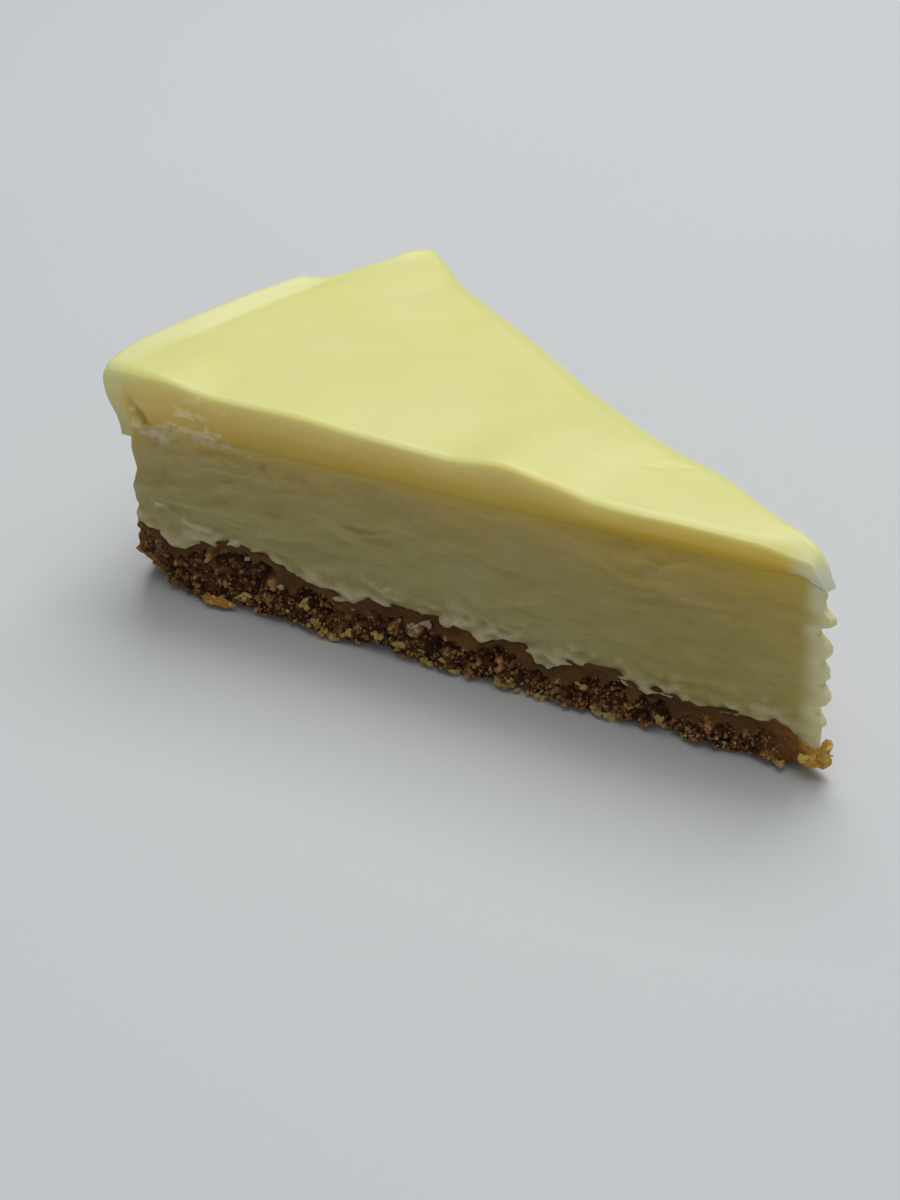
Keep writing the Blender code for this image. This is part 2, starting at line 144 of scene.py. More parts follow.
# A tear down the topping near the rim: distance from the tip, height, half width, half height.
GROOVE = (0.1082, 0.0292, 0.0008, 0.003)
GROOVE_SLOPE = 0.3
GROOVE_DEPTH = 0.0006
# How far in from the near cut the groove and the relief of the smears reach.
GROOVE_REACH = 0.002
RELIEF_REACH = 0.004
# Where the topping's colour turns at a cut, as shares of the edge's rounding.
CUT_BEGINS = (0.08, 0.3)
# Where the cut's colour fades near the rim and tip, the share lost at the tip, where the rim's colour
# begins (paler, and olive painted shade lower down), and how long the drip is at the tip, which is
# whitish with painted glow and highlight.
CUT_FADE_AT_RIM = 0.003
CUT_FADE_AT_TIP = 0.006
CUT_LOST_AT_TIP = 0.85
RIM_BLEND = 0.002
DRIP_LENGTH = 0.007

# The base's faces: a pressed smooth band under the filling, and loose crumbs below it.
CLEFT_WIDTH = 0.35
BASE_FLARE = 0.0013
FLARE_LIFT = 0.15
CALM_TOP_SHARE = 1 / 3
BASE_RIM_STEP = 0.0006
BASE_TIP_STEP = 0.0009
CORNER_CALM = 0.006
BASE_UNDERCUT = 0.0012
UNDERCUT_SHARE = 0.12
TIP_LIFT = 0.0016
LIFTED_TIP = 0.065
BROKEN_DEPTH = 0.0024
BROKEN_LENGTH = 0.008
BROKEN_SHARE = 0.6
PUSH_FADE = 0.009
BAND_HEIGHT = 0.0015
BAND_WAVE = 0.0009
LUMP_SIZE = 0.0018
LUMP_DEPTH = 0.0012
GRANULE_SIZE = 0.0006
GRANULE_DEPTH = 0.0006
# The share of the highest lump and granule that lies level with the face.
LUMP_MIDDLE = 0.55
GRANULE_MIDDLE = 0.5
# The band's edge, how long the base is plain and golden at the tip, and the relief left at the corners.
BAND_EDGE = 0.0009
GOLDEN_TIP = 0.01
BASE_CORNER = 0.25

# The topping's soft edges.
SWELLING_SHARE = 0.6
LIP_FOOT_SHARE = 0.55
ROUNDING_SHARE = 0.85
NEAR_OVERHANG = 0.0012
FAR_OVERHANG = -0.0006
FAR_BULGES = in_metres(((97, 10, -1.2), (72, 12, 0.5), (30, 10, 1.8), (112, 6, 1.4)))
RIM_OVERHANG = 0.0046
RIM_SWELLING = (0.25, 0.55)
LIP_FAR_SHARE = 0.5
LIP_TURN = (0.22, 0.46 - 0.22)
LIP_SOFTNESS = 0.0016
TIP_OVERHANG = 0.0012
NOSE_OVERHANG = 0.0012
NOSE_LENGTH = 0.0035
NOSE_DRIP = 0.0009
MELTED_LENGTH = 0.012
MELTED_LEVEL = 0.96
MELTING_STEPS = 90
NARROW_NOSE = 0.3
NARROW_LENGTH = 0.01
FAR_ROUNDING = 0.0065
FAR_CORNER_LOSS = 0.65
FAR_CORNER = (0.86, 0.12)
RIM_ROUNDING = 0.0021
TIP_ROUNDING = 0.0036
WRAP_DROP = 0.0026
WRAP_WIDTH = 0.006
WRAP_SHARPNESS = 2.5
STRAIGHT_TIP = 0.02
# The surface's height along the near cut, before the edge is rounded: distance from the tip, height.
# Beyond the reach, or nearer where the slice is narrow, it has its own height.
NEAR_EDGE = in_metres((
    (2, 30.8), (4.4, 32.7), (12, 33.9), (25, 34.3), (35, 34.1), (42, 34.9), (49, 35.6), (58, 34.7),
    (70, 35), (82, 35.5), (94, 35.4), (104.5, 36.6), (111.5, 36.5),
))
EDGE_REACH = 0.02
EDGE_REACH_SHARE = 1.5
# Where the surface's pale colour ends at the near cut: distance from the tip, height. It comes down
# towards the cut at a slope.
NEAR_LIP = in_metres((
    (2, 30), (4.4, 32), (12, 33.4), (23, 33.8), (34.5, 33.3), (40, 34.7), (49.5, 35.8), (56, 33.8),
    (62, 33.9), (70, 34.6), (82, 35.2), (89.5, 34.7), (98, 35.1), (104.5, 36.1), (111.5, 34),
))
LIP_SLOPE = 0.69
LIP_BLUR = 0.0015
LIP_END = (0.04, 0.5)
PALE_CORNER = (0.003, 0.012)
NEAR_ROUNDING = 0.0014
TIP_SIDE_ROUNDING = 0.003
ROUND_TIP = 0.014
CORNER_ROUNDING = 0.003
ROUND_CORNER = 0.013

# The topping's surface.
CREASE_RADIUS = 0.1095
CREASE_DEPTH = 0.00022
CREASE_WIDTH = 0.0013
NEAR_BEAD = 0.0008
FAR_BEAD = -0.0011
BEAD_RISE_WIDTH = 0.0045
RIM_BUMP_HEIGHT = 0.0013
RIM_BUMP_REACH = 0.0035
RIM_BUMP_PLACE = (-0.054, 0.0275)
CORNER_RISE = 0.0006
CORNER_RISE_REACH = 0.03
TIP_DROOP = 0.0024
TIP_DROOP_LENGTH = 0.009
TIP_SINK = 0.0009
TIP_SINK_BEGINS = 0.045
TIP_SINK_LENGTH = 0.03
FAR_TIP_LOSS = 0.5
# Dents in the surface: middle, half length along the slice, half width, turn, depth.
DENTS = (
    (0.0234, 0.002, 0.0022, 0.0006, math.radians(40), 0.0004),
    (-0.0285, 0.015, 0.007, 0.003, math.radians(80), 0.00012),
    (0.012, -0.006, 0.009, 0.002, math.radians(20), 0.00012),
)

# Golden flakes and chunks of crumb on the base, larger orange bits of crust, and white bits of filling:
# distance from the tip along the near cut, height, length, thickness.
FLAKES = in_metres((
    (91.6, 3.3, 1.3, 1.3), (80.8, 4.7, 1.3, 1.8), (79.6, 2.2, 2, 1.8), (78, 1.4, 2, 1.2),
    (76.2, 0.9, 2.2, 1.2), (73.8, 2, 1.6, 1), (68.6, 3, 1.4, 1.4), (65.1, 2.7, 1.6, 1.8),
    (60.7, 0.9, 2, 0.9), (57.2, 2.2, 1.2, 0.8), (56, 0.8, 1.4, 0.9), (49, 1.1, 1.8, 1.2), (47, 1, 2, 1.3),
    (43.7, 0.8, 1.6, 1.1), (42, 0.7, 1.8, 1), (34, 0.8, 2, 1.3), (31.6, 1, 2.2, 1.2), (36.1, 4, 1.3, 0.8),
    (29.1, 3.4, 1, 0.8), (24.5, 2.8, 1.4, 0.9), (20.1, 1.1, 1.6, 0.8), (7.1, 1, 2.4, 0.9),
))
SLABS = in_metres(((96, 1.2, 5.6, 1.1), (0.3, 5, 1.4, 4), (2.2, 3, 2.4, 1.6)))
WHITE_BITS = in_metres((
    (62.7, 5.8, 1.8, 2.2), (60.7, 7.3, 1.8, 0.8), (84.9, 6.6, 0.5, 0.5), (90.7, 9.8, 0.6, 0.4),
    (0.3, 5.2, 0.7, 0.9),
))
# Each piece of such bits: name, slot, rows, seed, form, and dark, light and golden colour. The form is
# how far a bit stands out, its depth, its grains' size and the share of its core.
CLUMPS = (
    ("golden_flakes", "biscuit", FLAKES, 51, (0.0007, 0.0014, 0.00068, 0.22),
     (0.4, 0.23, 0.055), (0.66, 0.49, 0.19), (0.6, 0.41, 0.11)),
    ("orange_crust", "biscuit", SLABS, 71, (0.001, 0.0014, 0.00068, 0.46),
     (0.5, 0.22, 0.03), (0.78, 0.46, 0.09), (0.8, 0.56, 0.16)),
    ("white_bits", "cheese", WHITE_BITS, 61, (0.0007, 0.001, 0.00045, 0.46),
     (0.38, 0.3, 0.2), (0.58, 0.49, 0.35), (0.52, 0.44, 0.31)),
)
CRUMB_COLOURS = ((0.14, 0.055, 0.015), (0.42, 0.235, 0.077), (0.6, 0.41, 0.14))

# The meshes: cells along, across and up each layer, and how far the cuts crowd towards the ends.
BASE_CELLS = (640, 96, 60)
FILLING_CELLS = (420, 96, 84)
TOPPING_CELLS = (420, 96, 30)
CROWDING_ALONG = 0.25
CROWDING_ACROSS = 0.85
# Cells from a ragged edge to a hidden face's flat middle, and along its bent end at the rim.
RAGGED_CELLS = 20
WRAP_CELLS = 58
SHARP_EDGE = math.radians(76)
CRUMB_EDGE = math.radians(25)

# Loose crumbs on the base: how many on the near cut, the far cut and the rim.
CRUMB_COUNTS = (2300, 2300, 1200)
CRUMB_SMALLEST = 0.0001
CRUMB_LARGEST = 0.00052
CRUMB_ROUGHNESS = 0.42
CLUMP_ROUGHNESS = 0.34
# Their bumps: how fast they change, how far apart two bits are read, and the finer ones' rate and share.
BUMP_RATE, BUMP_STEP, FINE_RATE, FINE_SHARE = 1.3, 3.7, 2.6, 0.6
PLATE_GAP = 0.00002

# The strength of the noise, and how far apart it is read for different seeds.
WAVE_GAIN = 1.6
SEED_STEP = 17.3
# Each kind of unevenness: seed, depth, and the length of its waves in plan and in height. A 1 leaves that
# to what uses it.
WAVES = {
    "seam": (1, 0.0008, 0.011, 1), "rags": (8, 0.00055, 0.0016, 1), "fine rags": (9, 0.000275, 0.0009, 1),
    "swell": (2, 0.0005, 0.032, 1), "ripple": (7, 0.00012, 0.009, 1), "lip": (6, 0.0008, 0.019, 1),
    "drag": (4, 0.00045, 0.024, 0.0048), "bend": (10, 1, 0.012, 0.006), "calm": (11, 1, 0.02, 0.008),
    "streaks": (12, 1, 0.007, 1), "grain": (13, 0.00009, 0.0011, 0.0011), "reach": (17, 0.5, 0.006, 1),
    "fringe": (14, 0.9, 0.0022, 0.0012), "long fringe": (16, 0.6, 0.009, 1), "band": (21, 1, 0.006, 1),
    "teeth": (15, 0.00015, 1, 0.0009), "blotches": (31, 0.55, 0.0013, 0.001),
    "crag": (3, 0.0011, 0.0042, 0.0042), "specks": (24, 0.00012, 0.0003, 0.0003),
    "fine band": (23, 1, 0.0015, 1), "band face": (22, 0.00022, 0.0016, 0.001),
}

# The camera: it looks at the near cut and the top from the tip's side.
CAMERA_PLACE = Vector((0.2065476, -0.219308, 0.186802))
CAMERA_AZIMUTH = math.radians(45.49)
CAMERA_ELEVATION = math.radians(31.164)
CAMERA_ROLL = math.radians(-0.411)
LENS_MM = 72
SENSOR_MM = 36

# The lamps: name, place, size, power and colour. The sky fills in the shadows.
LAMPS = (
    ("window", (-0.25, 0.42, 0.85), 0.7, 5.2, (1.0, 0.99, 0.97)),
    ("ceiling", (0.1, 0.0, 1.0), 0.9, 3.2, (1.0, 1.0, 1.0)),
    ("room", (0.6, -0.5, 0.4), 0.5, 0.45, (1.0, 0.98, 0.96)),
)
SKY_COLOUR = (0.93, 0.96, 1.0, 1)
SKY_STRENGTH = 0.15
FLOOR_SIZE = 4

# The directions that the two cuts and the tip face.
NEAR_NORMAL = np.array((SINE, -COSINE, 0))
FAR_NORMAL = np.array((SINE, COSINE, 0))
TIP_NORMAL = np.array((1.0, 0, 0))


def smooth(value):
    """Rises from 0 to 1 with level ends."""
    t = np.clip(value, 0, 1)
    return t * t * (3 - 2 * t)


def hump(distance, width):
    """A bump of height 1 that has died away beyond its width."""
    return np.exp(-((distance / width) ** 2))


def places_of(x, y, z):
    x, y, z = np.broadcast_arrays(x, y, z)
    return x.shape, zip(x.ravel().tolist(), y.ravel().tolist(), z.ravel().tolist())


def wave(x, y, z, seed):
    """Smooth unevenness between about -1 and 1, different for each seed."""
    shape, places = places_of(x, y, np.add(z, SEED_STEP * seed))
    values = np.fromiter(map(noise.noise, places), float)
    return WAVE_GAIN * values.reshape(shape)


def uneven(kind, x, y, z=0):
    """The unevenness of a kind at places in metres."""
    seed, depth, length, height = WAVES[kind]
    return depth * wave(x / length, y / length, z / height, seed)


def from_share(share, amount):
    """An amount from 0 to 1, moved up so that it begins at a share."""
    return share + (1 - share) * amount


def rises(value, start, length):
    """Rises from 0 at a start to 1 a length further on."""
    return smooth((value - start) / length)


def fades(value, length):
    """Falls from 1 at 0 to 0 at a length."""
    return smooth(1 - value / length)


def lumps(x, y, z, size):
    """Packed lumps of a size: 0 in the clefts between them to 1 on them, and each lump's own luck."""
    shape, places = places_of(x / size, y / size, z / size)
    body, luck = [], []
    for place in places:
        distances, middles = noise.voronoi(place)
        body.append(distances[1] - distances[0])
        luck.append(noise.cell(middles[0]))
    return smooth(np.reshape(body, shape) / CLEFT_WIDTH), np.reshape(luck, shape)


def crowded(count, crowding):
    """Cut positions from 0 to 1, closer together towards both ends."""
    even = np.linspace(0, 1, count + 1)
    return (1 - crowding) * even + crowding * (0.5 - 0.5 * np.cos(math.pi * even))


def rim_reach(side, overhang):
    """Distance of the rim from the apex: longer on the near side, and drawn in at the corners."""
    far_share = rises(side, *LIP_TURN)
    drawn_in = CORNER_SOFTNESS + LIP_SOFTNESS * (1 - far_share) * overhang / RIM_OVERHANG
    overhang = overhang * (1 + (LIP_FAR_SHARE - 1) * far_share)
    return RADIUS + overhang - RIM_SKEW * side - drawn_in * np.abs(side) ** CORNER_SHARPNESS


def half_width(along, reach=RADIUS):
    distance = TIP_BLUNTNESS + along * (reach * COSINE - TIP_BLUNTNESS)
    return np.hypot(TIP_HALF_WIDTH, distance * TANGENT)


def plan(along, across, overhang=0.0):
    """The place in plan."""
    side = 2 * across - 1
    reach = rim_reach(side, overhang)
    x = APEX_X - TIP_BLUNTNESS - along * (rim_distance(side, reach) - TIP_BLUNTNESS)
    return x, side * half_width(along, reach)


def rim_distance(side, reach):
    """Distance of the rim from the apex along the slice's middle line."""
    return np.sqrt(reach ** 2 - (side * reach * SINE) ** 2)


def cut_distance(x, y):
    """Distance from the tip along the nearer cut."""
    return (APEX_X - x) * COSINE + np.abs(y) * SINE


def feature_distance(x, y):
    """The same, but read further on along the far cut, so that it doesn't mirror the near one."""
    return cut_distance(x, y) + np.where(y > 0, FAR_CUT_SHIFT, 0)


def line_height(points, distance):
    """Height of a line that rises and falls smoothly from one of its points to the next."""
    places, heights = np.transpose(points)
    position = np.interp(distance, places, np.arange(len(places)))
    whole = np.floor(position).astype(int)
    following = np.minimum(whole + 1, len(places) - 1)
    return heights[whole] + (heights[following] - heights[whole]) * smooth(position - whole)


def edge_share(along, across):
    """1 on the side faces, 0 where the hidden layer faces are one plane."""
    sides = np.minimum(across, 1 - across) / EDGE_ZONE_ACROSS
    ends = np.minimum((1 - along) / EDGE_ZONE_ALONG, along / TIP_ZONE)
    return 1 - smooth(np.minimum(sides, ends))


def base_top(along, across):
    """Height of the line where base and filling meet."""
    x, y = plan(along, across)
    distance = APEX_X - x
    plane = BASE_AT_TIP + (BASE_AT_RIM - BASE_AT_TIP) * distance / RADIUS
    plane = plane - BASE_THINNING * (1 - smooth(distance / THINNING_LENGTH))
    seam = uneven("seam", x, y / 2)
    # The near cut's line is whole on the near quarter of the slice and at the tip.
    near_share = np.maximum(smooth(1.5 - 2 * across), 1 - smooth(along / TIP_ZONE))
    near_rise = line_height(NEAR_SEAM, cut_distance(x, y)) - plane
    return plane + (seam + (near_rise - seam) * near_share) * edge_share(along, across)


def topping_floor(x, across):
    """Height of the filling's upper face, which bends down where the topping wraps the rim."""
    side = 2 * across - 1
    length = rim_distance(side, rim_reach(side, 0)) - TIP_BLUNTNESS
    along = np.minimum(1, (APEX_X - TIP_BLUNTNESS - x) / length)
    plane = FLOOR_AT_TIP + (FLOOR_AT_RIM - FLOOR_AT_TIP) * (APEX_X - x) / RADIUS
    wrap = np.maximum(0.0, 1 - (1 - along) * RADIUS / WRAP_WIDTH)
    return plane - WRAP_DROP * wrap ** WRAP_SHARPNESS * edge_share(along, across)


def topping_top(x, y):
    """Height of the topping's surface before its edges are rounded."""
    distance, radius = APEX_X - x, np.hypot(APEX_X - x, y)
    turn = y / (np.maximum(radius, TIP_HALF_WIDTH) * SINE)
    height = CAKE_HEIGHT + uneven("swell", x, y) + uneven("ripple", x, y)
    outside = radius - CREASE_RADIUS
    far_share = rises(turn, *LIP_TURN)
    height -= CREASE_DEPTH * (1 - far_share) * hump(outside, CREASE_WIDTH)
    bead = NEAR_BEAD + (FAR_BEAD - NEAR_BEAD) * far_share
    height += bead * smooth(outside / BEAD_RISE_WIDTH)
    from_corner = np.hypot(distance - RADIUS * COSINE, y - RADIUS * SINE)
    height += CORNER_RISE * hump(from_corner, CORNER_RISE_REACH)
    bump_x, bump_y = RIM_BUMP_PLACE
    height += RIM_BUMP_HEIGHT * hump(np.hypot(x - bump_x, y - bump_y), RIM_BUMP_REACH)
    for middle_x, middle_y, length, width, turned, depth in DENTS:
        ahead = (x - middle_x) * math.cos(turned) + (y - middle_y) * math.sin(turned)
        aside = (y - middle_y) * math.cos(turned) - (x - middle_x) * math.sin(turned)
        height -= depth * hump(np.hypot(ahead / length, aside / width), 1)
    height -= TIP_SINK * smooth((TIP_SINK_BEGINS - distance) / TIP_SINK_LENGTH)
    return height - TIP_DROOP * (1 - smooth(distance / TIP_DROOP_LENGTH))


def rounded(inset, depth, radius):
    """Brings points of a square edge onto a round one. Both distances run inward from the edge."""
    sideways, downwards = radius - inset, radius - depth
    reach = np.hypot(sideways, downwards)
    outside = (np.minimum(sideways, downwards) > 0) & (reach > radius)
    shrink = np.where(outside, radius / np.maximum(reach, 1e-9), 1)
    return radius - sideways * shrink, radius - downwards * shrink


def torn_groove(distance, height):
    """How deep a place lies in the tear down the topping near the rim, from 0 to 1."""
    place, level, width, tall = GROOVE
    bent = place + GROOVE_SLOPE * (height - level)
    return hump(distance - bent, width) * hump(height - level, tall)


def insets(along, across):
    """How far a place in plan lies from the near cut, the far cut, the rim and the tip."""
    width, side = half_width(along), 2 * across - 1
    return width * (1 + side), width * (1 - side), (1 - along) * RADIUS, along * RADIUS


def radial(x, y):
    """The directions from the apex, in plan."""
    away = np.stack((x - APEX_X, y, np.zeros_like(x)), axis=-1)
    return away / np.maximum(np.linalg.norm(away, axis=-1, keepdims=True), 1e-9)


def outward(along, across, amounts):
    """The push on places from the side faces, which fades inwards so that no cell turns over."""
    x, y = plan(along, across)
    normals = (NEAR_NORMAL, FAR_NORMAL, radial(x, y), TIP_NORMAL)
    push = np.zeros(x.shape + (3,))
    for inset, normal, amount in zip(insets(along, across), normals, amounts):
        strength = amount * np.maximum(0.0, 1 - inset / PUSH_FADE)
        push += normal * strength[..., None]
    return push


def base_points(along, across, up):
    """Places on the base, with how pressed, how high and how golden its crumb is there; how high it is
    paints its shade.
    """
    x, y = plan(along, across)
    lift = TIP_LIFT * fades(along, LIFTED_TIP)
    top = base_top(along, across)
    height = lift + (top + BEDDING - lift) * up
    crag = uneven("crag", x, y, height) * smooth((1 - up) / CALM_TOP_SHARE)
    flare = BASE_FLARE * np.sin(math.pi * np.minimum(1, up + FLARE_LIFT))
    flare = flare - BASE_UNDERCUT * fades(up, UNDERCUT_SHARE)
    near_inset, far_inset, rim_inset, _ = insets(along, across)
    broken = BROKEN_DEPTH * fades(np.hypot(rim_inset, near_inset), BROKEN_LENGTH)
    broken = broken * smooth((BROKEN_SHARE - up) * 2)

    band = BAND_HEIGHT + BAND_WAVE * (uneven("band", x, y) + uneven("fine band", x, y))
    loose = smooth((top - height - band) / BAND_EDGE) * smooth(along * RADIUS / GOLDEN_TIP)
    body, luck = lumps(x, y, height, LUMP_SIZE)
    # The granules are read a long way off, so that they don't follow the lumps.
    small_body, small_luck = lumps(x + 0.1, y, height, GRANULE_SIZE)
    relief = LUMP_DEPTH * (luck * body - LUMP_MIDDLE)
    relief = relief + GRANULE_DEPTH * (small_luck * small_body - GRANULE_MIDDLE)
    relief = relief + uneven("specks", x, y, height)
    relief = relief * loose + uneven("band face", x, y, height)
    relief = relief * from_share(BASE_CORNER, smooth(rim_inset / CORNER_CALM))

    face = crag + flare - broken + relief
    rim = (crag + flare) * smooth(np.minimum(near_inset, far_inset) / CORNER_CALM)
    rim = rim + BASE_RIM_STEP * (1 - up) - broken + relief
    push = outward(along, across, (face, crag + flare + relief, rim, BASE_TIP_STEP * smooth(4 - 4 * up)))
    marks = {
        "pressed": 1 - loose,
        # How high the crumb stands, which the colour turns into painted shade in clefts and painted
        # highlight on lumps.
        "relief": np.clip(relief / LUMP_DEPTH + 0.5, 0, 1),
        "luck": small_luck,
        "tip": fades(along * RADIUS, GOLDEN_TIP),
    }
    return np.stack((x, y, height), axis=-1) + push, marks


def cracks(distance, height):
    """Depth of the cracks and ledges in a cut face."""
    depth = 0
    for place, level, length, width, slope, deep in CRACKS:
        rise = height - level + slope * (distance - place)
        # A ledge falls away sharply above its line and slowly below it.
        fall = np.where(rise > 0, width, 3 * width)
        depth = depth + deep * hump(distance - place, length) * hump(rise, fall)
    return depth


def smears_and_glints(x, y, height):
    """How whitish and glossy a cut face is, from 0 to 1: smeared filling and painted highlights."""
    distance = feature_distance(x, y)
    total = 0
    for place, level, length, tall in SMEARS_AND_GLINTS:
        ahead = (distance - place) / length
        rise = (height - level - SMEAR_AND_GLINT_SLOPE * (distance - place)) / tall
        total = total + hump(np.hypot(ahead, rise), SMEAR_AND_GLINT_SPREAD)
    total = total + uneven("blotches", x, y, height) * np.minimum(1, 3 * total)
    return rises(total, *SMEAR_AND_GLINT_BEGINS)


def filling_points(along, across, up):
    """Places on the filling, with how far below its top they lie and how much smeared filling and painted
    highlight they carry.
    """
    x, y = plan(along, across)
    seam = base_top(along, across)
    rags = uneven("rags", x, y) + uneven("fine rags", x, y)
    low = seam - BEDDING + rags * edge_share(along, across)
    high = topping_floor(x, across)
    height = low + (high + BEDDING - low) * up
    distance = feature_distance(x, y)
    drag = uneven("drag", x, y, height)
    slanted = (height + STREAK_SLOPE * distance) / STREAK_PITCH
    calm = from_share(LEAST_STREAKS, smooth(uneven("calm", x, y, height) + 0.5))
    streaks = uneven("streaks", x, y, slanted + uneven("bend", x, y, height))
    rough = STREAK_DEPTH * calm * streaks + uneven("grain", x, y, height) - cracks(distance, height)
    inside = smooth((high - height) / UNMARKED_EDGE)
    drag = drag * inside * smooth(up / UNDRAGGED_SHARE)
    rough = rough * inside

    above_seam = height - seam
    patches = 0.45 + uneven("fringe", x, y, height) + uneven("long fringe", x, y)
    reach = SMEAR_HEIGHT * (1 + uneven("reach", x, y))
    fringe = np.clip(patches, 0, 1.5) * hump(above_seam - SMEAR_LEVEL, reach)
    smear = smears_and_glints(x, y, height)
    dab, dab_luck = lumps(x / DAB_STRETCH, y / DAB_STRETCH, height, DAB_SIZE)
    dab_share = from_share(LEAST_DABS, fades(above_seam, DAB_REACH))
    dabs = DAB_DEPTH * (dab * dab_luck - 0.5) * dab_share * inside
    rim_inset = insets(along, across)[2]
    calm_corner = from_share(FILLING_CORNER, smooth(rim_inset / CORNER_CALM))
    face = (drag + rough + dabs) * calm_corner + SMEAR_DEPTH * fringe + SMEAR_RELIEF * smear * inside
    rim = drag + RIM_ROUGHNESS * rough

    teeth = sum(out * hump(((height - level) / tall) ** 2, 1) for level, tall, out in TIP_TEETH)
    teeth = teeth + uneven("teeth", 0, 0, height)
    tip = teeth * smooth(5 * up) - TIP_LEAN * up
    marks = {
        "below": (high - height) / (1 + fades(distance, DEEP_LENGTH)),
        "smear": np.maximum(smear, 0.7 * smooth(1.3 * fringe - 0.25)),
        "streak": 0.5 + 0.5 * streaks * calm,
        "tip": fades(along * RADIUS, PAINTED_GLOW_TIP),
        "ripe": fades(distance, RIPE_LENGTH),
    }
    points = np.stack((x, y, height), axis=-1) + outward(along, across, (face, face, rim, 0))
    # The teeth are narrow, so they fade within a short way from the tip.
    points[..., 0] += tip * fades(along * RADIUS, TEETH_LENGTH)
    return points, marks


def soften(along, across, x, y, depth, overhang):
    """Rounds the topping's four upper edges, at places that lie a depth below its surface."""
    near, far, rim, tip = insets(along, across)
    widest = ROUNDING_SHARE * half_width(along)
    far_radius = FAR_ROUNDING * (1 - FAR_CORNER_LOSS * rises(along, *FAR_CORNER))
    narrow = smooth((TIP_SINK_BEGINS - along * RADIUS) / TIP_SINK_LENGTH)
    pointed = fades(along * RADIUS, ROUND_TIP)
    near_radius = NEAR_ROUNDING + (TIP_SIDE_ROUNDING - NEAR_ROUNDING) * pointed
    near_radius = near_radius + (CORNER_ROUNDING - NEAR_ROUNDING) * fades(rim, ROUND_CORNER)
    place = np.stack((x, y, np.zeros_like(x)), axis=-1)
    edges = (
        (near, np.minimum(near_radius, widest), NEAR_NORMAL),
        (far, np.minimum(far_radius, widest * (1 - FAR_TIP_LOSS * narrow)), FAR_NORMAL),
        (rim + (1 - along) * overhang, RIM_ROUNDING, radial(x, y)),
        (tip, TIP_ROUNDING, TIP_NORMAL),
    )
    for inset, radius, normal in edges:
        new_inset, depth = rounded(inset, depth, radius)
        place = place - normal * (new_inset - inset)[..., None]
    return place, depth


def topping_points(along, across, up):
    """Places on the topping, with how far down its cut faces they lie and how much smeared filling and
    painted highlight they carry.
    """
    bulge = smooth(up / SWELLING_SHARE)
    overhang = RIM_OVERHANG * from_share(LIP_FOOT_SHARE, rises(up, *RIM_SWELLING))
    x, y = plan(along, across, overhang)
    side, distance = 2 * across - 1, APEX_X - x
    lip = uneven("lip", x, y) * smooth(distance / STRAIGHT_TIP)
    bulges = sum(size * hump(distance - place, length) for place, length, size in FAR_BULGES)
    reach = np.where(side > 0, FAR_OVERHANG + bulges, NEAR_OVERHANG)
    narrowing = from_share(NARROW_NOSE, smooth(along * RADIUS / NARROW_LENGTH))
    y = y + bulge * side * (reach + lip) * narrowing
    x = x + (bulge * TIP_OVERHANG - TIP_LEAN) * np.maximum(0.0, 1 - along * RADIUS / PUSH_FADE)
    nose = fades(along * RADIUS, NOSE_LENGTH)
    x = x + (1 - bulge) * NOSE_OVERHANG * nose
    floor = topping_floor(x, across) - BEDDING
    top = topping_top(x, y)
    near_inset, _, rim_inset, _ = insets(along, across)
    edge_reach = np.minimum(EDGE_REACH, EDGE_REACH_SHARE * half_width(along))
    edge = line_height(NEAR_EDGE, cut_distance(x, y))
    top = top + (edge - top) * fades(near_inset, edge_reach)
    depth = (top - floor) * (1 - up)
    far_cut = rises(depth / FAR_ROUNDING, *CUT_BEGINS)
    steepness = depth / NEAR_ROUNDING
    place, depth = soften(along, across, x, y, depth, overhang)
    place[..., 2] = top - depth - NOSE_DRIP * (1 - up) * nose
    height = place[..., 2]
    inside = np.maximum(0, (APEX_X - place[..., 0]) * SINE + place[..., 1] * COSINE)
    above = height + LIP_SLOPE * inside - line_height(NEAR_LIP, cut_distance(x, y))
    turning = rises(steepness, *LIP_END) * rises(rim_inset, *PALE_CORNER)
    near_cut = np.maximum(smooth(0.5 - above / LIP_BLUR), turning)
    cut = np.where(side > 0, far_cut, near_cut)
    smear = smears_and_glints(place[..., 0], place[..., 1], height)
    groove = torn_groove(feature_distance(x, y), height) * fades(near_inset, GROOVE_REACH)
    relief = SMEAR_RELIEF * smear - GROOVE_DEPTH * groove
    relief = relief * fades(near_inset, RELIEF_REACH) * smooth(6 * up)
    place = place + NEAR_NORMAL * relief[..., None]
    at_rim = smooth(rim_inset / CUT_FADE_AT_RIM + 0.15)
    marks = {
        "cut": cut * at_rim * (1 - CUT_LOST_AT_TIP * fades(along * RADIUS, CUT_FADE_AT_TIP)),
        "level": np.clip((top - height) / (top - floor), 0, 1),
        "smear": smear,
        "groove": groove,
        "rim": smooth((np.hypot(APEX_X - place[..., 0], place[..., 1]) - CREASE_RADIUS) / RIM_BLEND),
        "tip": fades(along * RADIUS, DRIP_LENGTH),
        "ripe": fades(distance, RIPE_LENGTH),
    }
    return place, marks


def grid_faces(first, second, key, backwards):
    """The cells of a grid of cuts, as rows of four vertex keys."""
    a, b = np.meshgrid(np.arange(first), np.arange(second), indexing="ij")
    steps = ((0, 0), (1, 0), (1, 1), (0, 1))
    corners = [key(a + step_a, b + step_b) for step_a, step_b in steps]
    if backwards:
        corners.reverse()
    return np.stack(corners, axis=-1).reshape(-1, 4).tolist()


